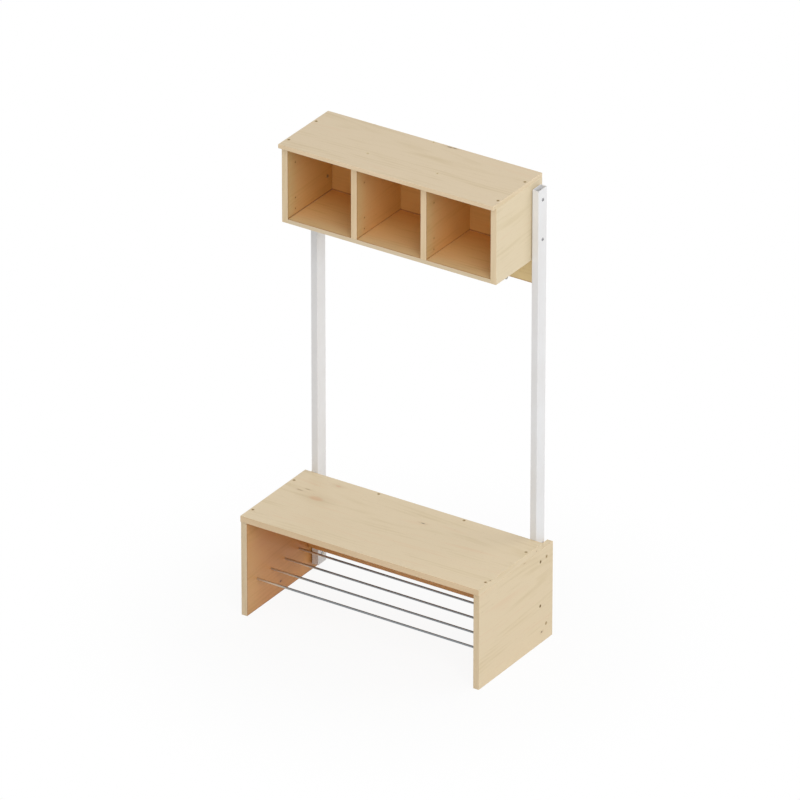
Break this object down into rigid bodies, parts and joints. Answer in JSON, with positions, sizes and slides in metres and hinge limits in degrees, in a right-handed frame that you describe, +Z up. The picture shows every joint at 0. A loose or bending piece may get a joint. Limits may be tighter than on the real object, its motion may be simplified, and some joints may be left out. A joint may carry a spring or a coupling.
{
  "type": "cloakroom bench with shoe rods and shelf",
  "caption": "Low cloakroom bench with shoe rods under the seat, two steel tube uprights and an open box shelf whose back board carries double coat hooks.",
  "frame": {"origin": "on the floor, in the middle of the bench's width and of the whole depth", "axes": "+Z up, +Y towards the wall behind, +X to the right of someone who faces the front; the front faces -Y"},
  "size_m": [0.75, 0.363, 1.356],
  "materials": {
    "maple_board": "clear matt lacquer",
    "beech_dowel": "raw, fluted",
    "white_powder_coat": "fine powder coat on steel tube",
    "drawn_steel_rod": "drawn, clear zinc plated",
    "cast_hook_metal": "cast, satin",
    "zinc_plated_steel": "zinc plated",
    "nylon_spacer": "moulded"
  },
  "bodies": {
    "root": {"bench_top": "maple_board", "bench_side_left": "maple_board", "bench_side_right": "maple_board", "bench_back_panel": "maple_board", "shelf_top": "maple_board", "shelf_bottom": "maple_board", "shelf_side_left": "maple_board", "shelf_side_right": "maple_board", "shelf_divider_1": "maple_board", "shelf_divider_2": "maple_board", "shelf_back_panel": "maple_board", "shoe_rod_1": "drawn_steel_rod", "shoe_rod_2": "drawn_steel_rod", "shoe_rod_3": "drawn_steel_rod", "shoe_rod_4": "drawn_steel_rod", "upright_left": "white_powder_coat", "upright_right": "white_powder_coat", "coat_hook_1": "cast_hook_metal", "coat_hook_2": "cast_hook_metal", "coat_hook_3": "cast_hook_metal", "bench_top_screws": "zinc_plated_steel", "bench_panel_screws": "zinc_plated_steel", "shelf_top_screws": "zinc_plated_steel", "shelf_divider_screws": "zinc_plated_steel", "shelf_back_screws": "zinc_plated_steel", "coat_hook_screws": "zinc_plated_steel", "bench_frame_bolts": "zinc_plated_steel", "bench_frame_nuts": "zinc_plated_steel", "shelf_frame_bolts": "zinc_plated_steel", "shelf_sleeve_nuts": "zinc_plated_steel", "bench_frame_spacers": "nylon_spacer", "shelf_frame_spacers": "nylon_spacer", "shelf_dowels": "beech_dowel"}
  },
  "joints": []
}
